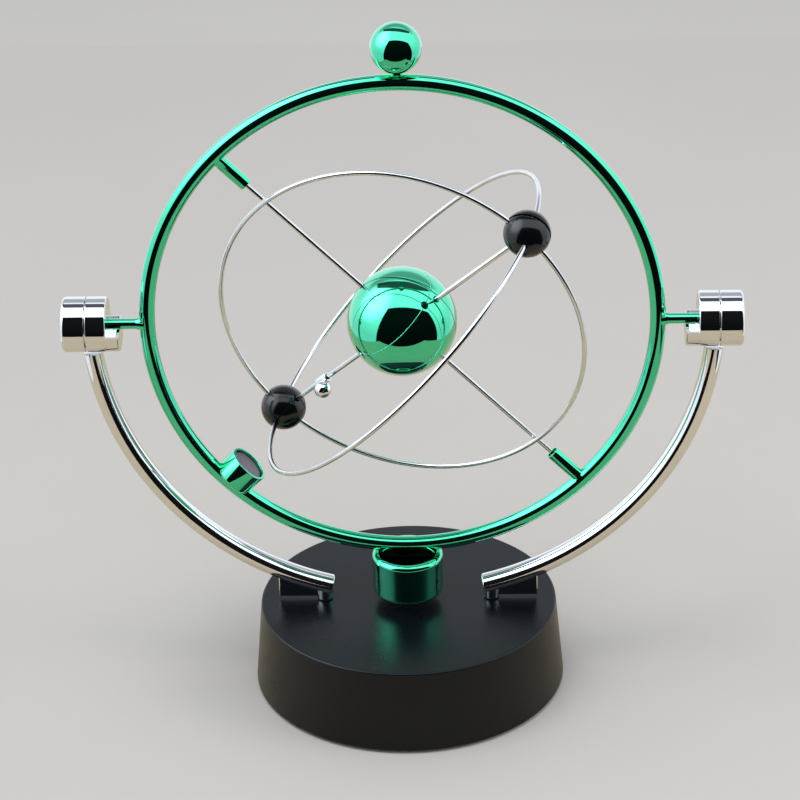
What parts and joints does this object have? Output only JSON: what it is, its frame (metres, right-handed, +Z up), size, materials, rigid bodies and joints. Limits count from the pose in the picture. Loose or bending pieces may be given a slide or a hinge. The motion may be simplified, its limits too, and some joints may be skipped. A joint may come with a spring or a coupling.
{
  "type": "kinetic orbit desk toy",
  "caption": "Battery desk toy: a plated ring swings between curved arms over a round base, and a rotor of wire orbits and weighted balls spins inside it.",
  "frame": {"origin": "on the table under the middle of the base", "axes": "+Z up, X along the ring's pivot axis, -Y towards the front"},
  "size_m": [0.22, 0.1268, 0.234],
  "materials": {
    "green_chrome": "polished",
    "chrome": "polished",
    "steel_wire": "polished",
    "black_satin": "satin",
    "black_gloss": "gloss",
    "transistor_black": "satin",
    "grey_plastic": "satin",
    "rubber": "matte",
    "magnet": "matte",
    "screw_steel": "satin",
    "brass": "satin",
    "copper": "satin",
    "cell_jacket": "gloss",
    "board_green": "satin",
    "lead_red": "satin",
    "lead_black": "satin"
  },
  "bodies": {
    "base": {"arm_left": "chrome", "arm_right": "chrome", "arm_screw_left": "screw_steel", "arm_screw_right": "screw_steel", "base_plate": "black_satin", "base_screw_1": "screw_steel", "base_screw_2": "screw_steel", "base_screw_3": "screw_steel", "base_shell": "black_satin", "battery_1": "cell_jacket", "battery_2": "cell_jacket", "battery_3": "cell_jacket", "battery_4": "cell_jacket", "battery_lead_black": "lead_black", "battery_lead_red": "lead_red", "circuit_board": "board_green", "coil_bobbin": "grey_plastic", "coil_lead_1": "copper", "coil_lead_2": "copper", "coil_winding": "copper", "contact_plate_1": "screw_steel", "contact_plate_2": "screw_steel", "contact_plate_3": "screw_steel", "contact_plate_4": "screw_steel", "contact_spring_1": "screw_steel", "contact_spring_2": "screw_steel", "contact_spring_3": "screw_steel", "contact_spring_4": "screw_steel", "drive_transistor": "transistor_black", "foot_1": "rubber", "foot_2": "rubber", "foot_3": "rubber", "pivot_bush_left": "brass", "pivot_bush_right": "brass", "pivot_cap_left": "chrome", "pivot_cap_right": "chrome", "pivot_housing_left": "chrome", "pivot_housing_right": "chrome"},
    "battery_cover": {"battery_door": "black_satin"},
    "swing_ring": {"outer_ring": "green_chrome", "top_ball": "green_chrome", "magnet_cup": "green_chrome", "ring_magnet": "magnet", "side_magnet": "magnet", "axle_bush_upper": "brass", "axle_bush_lower": "brass"},
    "rotor": {"axle": "steel_wire", "centre_ball_front": "green_chrome", "centre_ball_back": "green_chrome", "cross_rod": "steel_wire", "orbit_ring_a": "steel_wire", "orbit_ring_b": "steel_wire", "weight_upper_front": "black_gloss", "weight_upper_back": "black_gloss", "weight_lower_front": "black_gloss", "weight_lower_back": "black_gloss", "rotor_magnet_upper": "magnet", "rotor_magnet_lower": "magnet", "balance_bead": "chrome"}
  },
  "joints": [
    {"name": "ring_swing", "type": "hinge", "parent": "base", "child": "swing_ring", "pos_m": [0, 0, 0.132], "axis": [1, 0, 0], "continuous": true},
    {"name": "rotor_spin", "type": "hinge", "parent": "swing_ring", "child": "rotor", "pos_m": [0, 0, 0.132], "axis": [0.7071, 0, -0.7071], "continuous": true},
    {"name": "battery_door_lift", "type": "slide", "parent": "base", "child": "battery_cover", "axis": [0, 0, -1], "range_m": [0, 0.04]}
  ]
}
